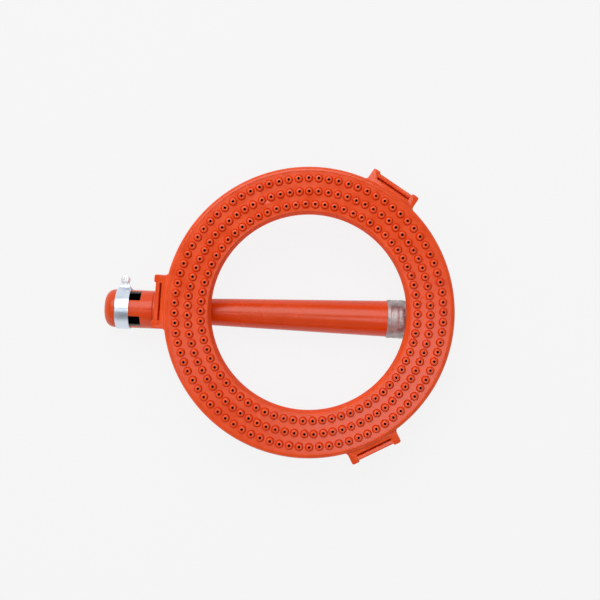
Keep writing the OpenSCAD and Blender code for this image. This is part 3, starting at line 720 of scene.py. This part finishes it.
# the mixing tube with its weld, elbow and hanger: each bead is place, half width and height
tube = {
    "start": -150.0, "startRadius": 13.85, "widen": 86.5, "wideRadius": 20.1, "end": 96.9, "wall": 2.3,
    "collarStart": 86.9, "collarEnd": 108.1, "collarIn": 20.2, "collarOut": 21.05,
    "beads": [(89.8, 1.5, 0.32), (96.4, 2.2, 0.36), (103.2, 2.8, 0.5)], "lump": 0.3,
    "slowLumps": (0.23, 2.2), "fineLumps": (0.6, 7.0), "fineShare": 0.55, "seatGap": 0.05,
    "elbowStart": 107.7, "elbowBend": 21.3, "elbowOut": 20.1, "elbowIn": 16.5, "elbowTop": -30.55,
    "hangerStart": -136.0, "hangerLength": 14.0, "hangerWall": 4.5, "hangerTop": -30.55,
    "taper": 0.02643, "hangerPlay": 0.4}


def tubeWall(c):
    inner = c["wall"]
    profile = [(c["start"], c["startRadius"] - inner), (c["start"], c["startRadius"]),
               (c["widen"], c["wideRadius"]), (c["end"], c["wideRadius"]),
               (c["end"], c["wideRadius"] - inner), (c["widen"], c["wideRadius"] - inner)]
    return turned("mixingTube", profile, 128, about="tube")


def weldCollar(c):
    # beads laid round the joint, each a little uneven
    count = 64
    profile = [(c["collarStart"], c["collarIn"])]
    for i in range(count + 1):
        x = c["collarStart"] + (c["collarEnd"] - c["collarStart"]) * i / count
        edge = min(1.0, min(x - c["collarStart"], c["collarEnd"] - x) / 0.7 + 0.15)
        r = c["collarIn"] + (c["collarOut"] - c["collarIn"]) * math.sqrt(edge)
        for middle, half, high in c["beads"]:
            away = abs(x - middle) / half
            if away < 1:
                r += high * math.sqrt(1 - away * away)
        profile.append((x, r))
    profile.append((c["collarEnd"], c["collarIn"]))

    def uneven(x, t, along, around):
        return noise.noise(Vector((x * along, around * math.cos(t), around * math.sin(t))))

    def lumps(x, t):
        return c["lump"] * (uneven(x, t, *c["slowLumps"]) + c["fineShare"] * uneven(x, t, *c["fineLumps"]))

    return turned("weldCollar", profile, 160, about="tube", wobble=lumps)


def feedElbow(c):
    # one bent pipe with a wall, swept from the tube's end up to the ring's floor
    bend = c["elbowBend"]
    stations = [(c["end"] + c["seatGap"], axisZ, 0.0)]
    for k in range(13):
        t = math.pi / 2 * k / 12
        stations.append((c["elbowStart"] + bend * math.sin(t), axisZ + bend - bend * math.cos(t), t))
    stations.append((c["elbowStart"] + bend, c["elbowTop"], math.pi / 2))
    steps = 72
    verts = []
    faces = []
    for x, z, t in stations:
        for radius in (c["elbowOut"], c["elbowIn"]):
            for i in range(steps):
                a = 2 * math.pi * i / steps
                up = radius * math.cos(a)
                verts.append((x - up * math.sin(t), axisY + radius * math.sin(a), z + up * math.cos(t)))
    last = len(stations) - 1
    for k in range(last + 1):
        for i in range(steps):
            j = (i + 1) % steps
            here = 2 * k * steps
            if k < last:
                for shell in (0, steps):
                    base = here + shell
                    faces.append((base + i, base + j, base + 2 * steps + j, base + 2 * steps + i))
            if k in (0, last):
                faces.append((here + i, here + j, here + steps + j, here + steps + i))
    return meshFrom("feedElbow", verts, faces)


def tubeHanger(c):
    # an eye round the tube with cheeks that run up to the ring's floor
    along = c["hangerStart"] + c["hangerLength"] - c["start"]
    eyeRadius = c["startRadius"] + along * c["taper"] + c["hangerPlay"]
    outer = eyeRadius + c["hangerWall"]
    turns = [math.pi + math.pi * k / 28 for k in range(29)]
    outline = [(outer, c["hangerTop"]), (-outer, c["hangerTop"])]
    outline += [(outer * math.cos(t), axisZ + outer * math.sin(t)) for t in turns]
    mesh = flatPlate("tubeHanger", outline, [circle(eyeRadius, 64, 0, axisZ)], 0, c["hangerLength"], 1.0)
    # the plate's own x and y become the part's y and z
    mesh.transform(Matrix(((0, 0, 1, 0), (1, 0, 0, 0), (0, 1, 0, 0), (0, 0, 0, 1))))
    return moved(mesh, x=c["hangerStart"], y=axisY)


addPiece("mixingTube", tubeWall(tube), "burner", "cast_paint", [tubePaint], "mixing_tube")
addPiece("weldCollar", weldCollar(tube), "burner", "bare_steel", [bareWeld], "weld_collar")
addPiece("feedElbow", feedElbow(tube), "burner", "cast_paint", [castPaint], "feed_elbow")
addPiece("tubeHanger", tubeHanger(tube), "burner", "cast_paint", [castPaint], "tube_hanger")
print("tube, weld, elbow and hanger made")


# the air mixer: reducer, barrel with windows and end cap
mixer = {
    "joint": -171.6, "start": -212.0, "radius": 21.2, "wall": 3.3, "capEnd": -225.5, "capRound": 10.0,
    "windowStart": -199.4, "windowEnd": -185.4, "windowWidth": 14.4, "windowTurn": -3.0, "windows": 2,
    "jointBevel": 0.6, "spigot": 6.0, "tubeFace": -150.05, "throatIn": 11.55,
    "coneStart": -160.6, "socketStart": -148.6, "socketEnd": -140.0, "socketIn": 14.2, "socketOut": 17.25,
    "inletRadius": 7.475, "inletEnd": -215.5, "jetHole": 5.1, "jetSeat": -210.5,
    "threadPitch": 1.814, "threadDepth": 0.9, "threadTurns": 4.6, "threadOut": 0.35, "threadIn": 0.9,
    "seatGap": 0.05, "spigotPlay": 0.1, "capWall": 5, "windowLoop": 4.6}


def throatReducer(c):
    bore = c["radius"] - c["wall"]
    fit = bore - c["spigotPlay"]
    spigotEnd = c["joint"] - c["spigot"]
    face = c["joint"] + c["seatGap"]
    profile = rounded([
        (spigotEnd, fit, 0), (face, fit, 0), (face, c["radius"], 0.8),
        (c["coneStart"], c["radius"], 6.0), (c["socketStart"], c["socketOut"], 5.0),
        (c["socketEnd"], c["socketOut"], 1.2), (c["socketEnd"], c["socketIn"], 0.3),
        (c["tubeFace"], c["socketIn"], 0), (c["tubeFace"], c["throatIn"], 0.5),
        (c["coneStart"], bore - c["wall"], 4.0), (spigotEnd, bore - c["wall"] + 1, 0)], 5)
    return turned("throatReducer", profile, 128, about="tube")


def airBarrel(c):
    # two shells whose windows have parallel sides, joined at every open edge
    half = c["windowWidth"] / 2
    windowSteps, wallSteps = 14, 9  # faces across a window and across the wall beside it
    first = math.radians(-c["windowTurn"] - 45)
    shells = []
    for radius in (c["radius"], c["radius"] - c["wall"]):
        edge = math.asin(half / radius)
        turns = [edge * k / 7 for k in range(-7, 8)]
        turns += [edge + (math.pi / 2 - 2 * edge) * k / wallSteps for k in range(1, wallSteps)]
        shells.append([first + t + math.pi / 2 * w for w in range(4) for t in turns])
    perWindow = len(shells[0]) // 4
    lines = [c["start"], c["start"] + c["spigot"], c["windowStart"], c["windowStart"] + c["windowLoop"],
             c["windowEnd"] - c["windowLoop"], c["windowEnd"], c["joint"] - c["spigot"],
             c["joint"] - c["jointBevel"], c["joint"]]
    verts = []
    for shell, radius in zip(shells, (c["radius"], c["radius"] - c["wall"])):
        for k, x in enumerate(lines):
            r = radius - (c["jointBevel"] if k == len(lines) - 1 and radius == c["radius"] else 0)
            verts += [(x, axisY + r * math.sin(t), axisZ + r * math.cos(t)) for t in shell]
    around = len(shells[0])
    layer = around * len(lines)
    solid = {}
    for k in range(len(lines) - 1):
        for i in range(around):
            inWindow = i < c["windows"] * perWindow and i % perWindow < windowSteps
            inWindow = inWindow and c["windowStart"] <= lines[k] < c["windowEnd"]
            solid[k, i] = not inWindow
    faces = []
    cut = []
    inside = []
    for (k, i), filled in solid.items():
        if not filled:
            continue
        j = (i + 1) % around
        a, b = k * around + i, k * around + j
        d, e = b + around, a + around
        faces += [(a, b, d, e), (layer + e, layer + d, layer + b, layer + a)]
        inside.append(len(faces) - 1)
        sides = (((k - 1, i), a, b), ((k + 1, i), d, e), ((k, (i - 1) % around), e, a), ((k, j), b, d))
        for near, p, q in sides:
            if not solid.get(near, False):
                cut.append(len(faces))
                faces.append((q, p, layer + p, layer + q))
    mesh = meshFrom("airBarrel", verts, faces, finish=False)
    # the cut edges are bare steel; the inside gets near black painted shade
    for numbers, finish in ((cut, 1), (inside, 2)):
        for index in numbers:
            mesh.polygons[index].material_index = finish
    closeUp(mesh)
    return cleanBevel(mesh, 0.35, 50.0)


def endCap(c):
    # a domed end with the tapped gas inlet and the seat of the jet
    bore = c["radius"] - c["wall"]
    fit, hollow = bore - c["spigotPlay"], bore - c["capWall"]
    face = c["start"] - c["seatGap"]
    spigotEnd = c["start"] + c["spigot"]
    profile = rounded([
        (c["capEnd"], c["inletRadius"], 0.7), (c["capEnd"], c["radius"], c["capRound"]),
        (face, c["radius"], 0.3), (face, fit, 0), (spigotEnd, fit, 0), (spigotEnd, hollow, 0),
        (c["jetSeat"], hollow, 0.4), (c["jetSeat"], c["jetHole"], 0), (c["inletEnd"], c["jetHole"], 0),
        (c["inletEnd"], c["inletRadius"], 0)], 8)
    return turned("endCap", profile, 128, about="tube")


def helixTree():
    # a ridge of triangular section wound along a spiral, for a thread
    tree, given, out = newTree("threadRidge", [
        ("Radius", "Float", 0.005), ("Pitch", "Float", 0.001), ("Turns", "Float", 5.0),
        ("Depth", "Float", 0.0005), ("Steps", "Int", 32), ("Finish", "Material", None)])
    radius, turns = given.outputs["Radius"], given.outputs["Turns"]
    spiral = wired(tree, "GeometryNodeCurveSpiral", {
        "Resolution": given.outputs["Steps"], "Rotations": turns, "Start Radius": radius,
        "End Radius": radius, "Height": mathNode(tree, "MULTIPLY", given.outputs["Pitch"], turns)})
    section = wired(tree, "GeometryNodeCurvePrimitiveCircle", {
        "Resolution": 3, "Radius": given.outputs["Depth"]})
    sweep = wired(tree, "GeometryNodeCurveToMesh", {
        "Curve": spiral.outputs[0], "Profile Curve": section.outputs[0], "Fill Caps": True})
    closeTree(tree, sweep.outputs[0], given, out)
    return tree


threadRidge = helixTree()


def thread(radius, pitch, turns, depth, finish):
    mesh = runTree("threadRidge", threadRidge, {
        "Radius": radius * mm, "Pitch": pitch * mm, "Turns": turns, "Depth": depth * mm, "Finish": finish})
    closeUp(mesh)
    return mesh


inletThread = thread(mixer["inletRadius"] + mixer["threadOut"], mixer["threadPitch"], mixer["threadTurns"],
                     mixer["threadDepth"], cutSteel)
inletThread.transform(Matrix.Rotation(math.pi / 2, 4, "Y"))
moved(inletThread, x=mixer["capEnd"] + mixer["threadIn"], y=axisY, z=axisZ)
addPiece("throatReducer", throatReducer(mixer), "burner", "cast_paint", [tubePaint], "throat_reducer")
addPiece("airBarrel", airBarrel(mixer), "burner", "cast_paint", [tubePaint, cutSteel, shadeBlackInside],
         "mixer_barrel")
addPiece("endCap", joined("endCap", [(endCap(mixer), 0), (inletThread, 1)]), "burner", "cast_paint",
         [tubePaint, cutSteel], "end_cap")
print("air mixer made")


# the shutter band with its clamp screw, nut and washer
band = {
    "middle": -205.2, "width": 15.0, "thickness": 1.2, "radius": 22.05, "earGap": 3.0, "earReach": 32.6,
    "earEnd": 4.8, "neckWidth": 8.0, "bend": 5.0, "screw": 5.0, "head": 10.4, "headHeight": 2.9,
    "flareStart": 21.6, "flareLength": 5.4, "nutAcross": 8.0, "nutHeight": 4.0, "washer": 1.0,
    "headRim": 0.9, "cross": (4.8, 1.0, 3.6), "crossTurn": 20, "pitch": 0.8, "ridge": 0.46, "seatGap": 0.05,
    "threadRoot": 0.42, "ridgeOut": 0.08, "ridgeStart": 0.4, "tail": 2}


def shutterStrap(c):
    # one flat strip with round ends, bent round the barrel with an ear at each end
    mid = c["earGap"] / 2 + c["thickness"] / 2
    bendZ = mid + c["bend"]
    bendY = math.sqrt((c["radius"] + c["bend"]) ** 2 - bendZ ** 2)
    turn = math.atan2(bendZ, bendY)
    tip = c["earReach"] + c["earEnd"]
    ys = [tip - c["earEnd"] * (1 - math.cos(math.pi * k / 16)) for k in range(9)]
    ys += [c["earReach"] - (c["earReach"] - bendY) * k / 12 for k in range(1, 13)]
    line = [(y, mid) for y in ys]
    line += [(bendY - c["bend"] * math.sin(t), bendZ - c["bend"] * math.cos(t))
             for t in [(math.pi / 2 - turn) * k / 5 for k in range(1, 6)]]
    around = 2 * math.pi - 2 * turn
    turns = [turn + around * k / 120 for k in range(1, 120)]
    arcLine = [(c["radius"] * math.cos(t), c["radius"] * math.sin(t)) for t in turns]
    line = line + arcLine + [(y, -z) for y, z in reversed(line)]

    def halfWidth(y):
        if y > c["earReach"]:
            return max(0.25, math.sqrt(max(0.0, c["earEnd"] ** 2 - (y - c["earReach"]) ** 2)))
        neck = c["neckWidth"] / 2
        roundEnd = math.sqrt(max(0.0, c["earEnd"] ** 2 - (c["earReach"] - y) ** 2))
        widening = min(1.0, max(0.0, 1 - (y - c["flareStart"]) / c["flareLength"])) ** 1.2
        return min(c["width"] / 2, max(neck, roundEnd) + (c["width"] / 2 - neck) * widening)

    columns = 12
    verts = []
    for y, z in line:
        half = halfWidth(y)
        for k in range(columns + 1):
            verts.append((c["middle"] + half * (2 * k / columns - 1), axisY + y, axisZ + z))
    faces = []
    for i in range(len(line) - 1):
        for k in range(columns):
            a = i * (columns + 1) + k
            faces.append((a, a + 1, a + columns + 2, a + columns + 1))
    mesh = meshFrom("shutterStrap", verts, faces)
    holder = placed("strapHolder", mesh)
    wall = holder.modifiers.new("wall", "SOLIDIFY")
    wall.thickness = c["thickness"] * mm
    wall.offset = 0.0
    wall.use_even_offset = True
    mesh = plainMesh(holder)
    closeUp(mesh)
    return cleanBevel(mesh, 0.25, 60.0)


def clampScrew(c):
    # a domed head with a cross cut into it, on a threaded shank
    top = axisZ + c["earGap"] / 2 + c["thickness"] + c["seatGap"]
    radius, rim = c["head"] / 2, c["headRim"]
    turns = [math.pi / 2 * k / 9 for k in range(1, 9)]
    profile = [(0.0, 0.0), (radius - 0.15, 0.0), (radius, 0.25), (radius, rim)]
    profile += [(radius * math.cos(t), rim + (c["headHeight"] - rim) * math.sin(t)) for t in turns]
    profile.append((0.0, c["headHeight"]))
    head = turned("clampHead", profile, 64)
    cutters = bmesh.new()
    for turn in (0, 90):
        made = bmesh.ops.create_cube(cutters, size=1.0)["verts"]
        angle = math.radians(turn + c["crossTurn"])
        bmesh.ops.scale(cutters, vec=[v * mm for v in c["cross"]], verts=made)
        bmesh.ops.rotate(cutters, verts=made, matrix=Matrix.Rotation(angle, 3, "Z"))
        bmesh.ops.translate(cutters, vec=(0, 0, (c["headHeight"] + 0.2) * mm), verts=made)
    cutterMesh = bpy.data.meshes.new("crossCutter")
    cutters.to_mesh(cutterMesh)
    cutters.free()
    cutter = placed("crossCutter", cutterMesh)
    holder = placed("headHolder", head)
    cross = holder.modifiers.new("cross", "BOOLEAN")
    cross.object = cutter
    cross.solver = "EXACT"
    cross.use_self = True
    head = plainMesh(holder)
    bpy.data.objects.remove(cutter)
    closeUp(head)
    length = 2 * (c["earGap"] / 2 + c["thickness"]) + c["washer"] + c["nutHeight"] + c["tail"]
    core = c["screw"] / 2 - c["threadRoot"]
    shankProfile = rounded([(0.001, -length, 0), (core, -length, 0.5), (core, 0.2, 0), (0.001, 0.2, 0)], 3)
    shank = turned("clampShank", shankProfile, 40)
    windings = (length - c["pitch"]) / c["pitch"]
    ridge = thread(core + c["ridgeOut"], c["pitch"], windings, c["ridge"], brightZinc)
    moved(ridge, z=-length + c["ridgeStart"])
    mesh = joined("clampScrew", [(head, 0), (shank, 0), (ridge, 0)])
    return moved(mesh, x=c["middle"], y=axisY + c["earReach"], z=top)


def underEar(c, name, outline, play, low, height, bevel):
    # a plate with a hole for the screw, stacked below the lower ear
    hole = circle(c["screw"] / 2 + play, 36)
    plate = flatPlate(name, outline, [hole], low, low + height - c["seatGap"], bevel)
    return moved(plate, x=c["middle"], y=axisY + c["earReach"])


washerLow = axisZ - band["earGap"] / 2 - band["thickness"] - band["washer"]
nutCorner = band["nutAcross"] / 2 / math.cos(math.radians(30))
clampWasher = underEar(band, "clampWasher", circle(band["earEnd"], 48), 0.15, washerLow, band["washer"], 0.15)
clampNut = underEar(band, "clampNut", circle(nutCorner, 6), 0.05, washerLow - band["nutHeight"],
                    band["nutHeight"], 0.45)
addPiece("shutterStrap", shutterStrap(band), "shutter", "zinc", [zincPlate], "shutter_band")
addPiece("clampScrew", clampScrew(band), "clamp_screw", "zinc", [brightZinc], "clamp_screw")
addPiece("clampNut", clampNut, "shutter", "zinc", [zincPlate], "clamp_nut")
addPiece("clampWasher", clampWasher, "shutter", "zinc", [zincPlate], "clamp_washer")
print("shutter band and clamp screw made")

# the nodes that keep their CAD shape get their finish
for node, finish in (("cover_screws", cutSteel), ("seam_cement_outer", paintedCement),
                     ("seam_cement_inner", paintedCement), ("injector", jetBrass),
                     ("injector_washer", washerCopper)):
    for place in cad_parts[node].material_slots:
        place.material = finish
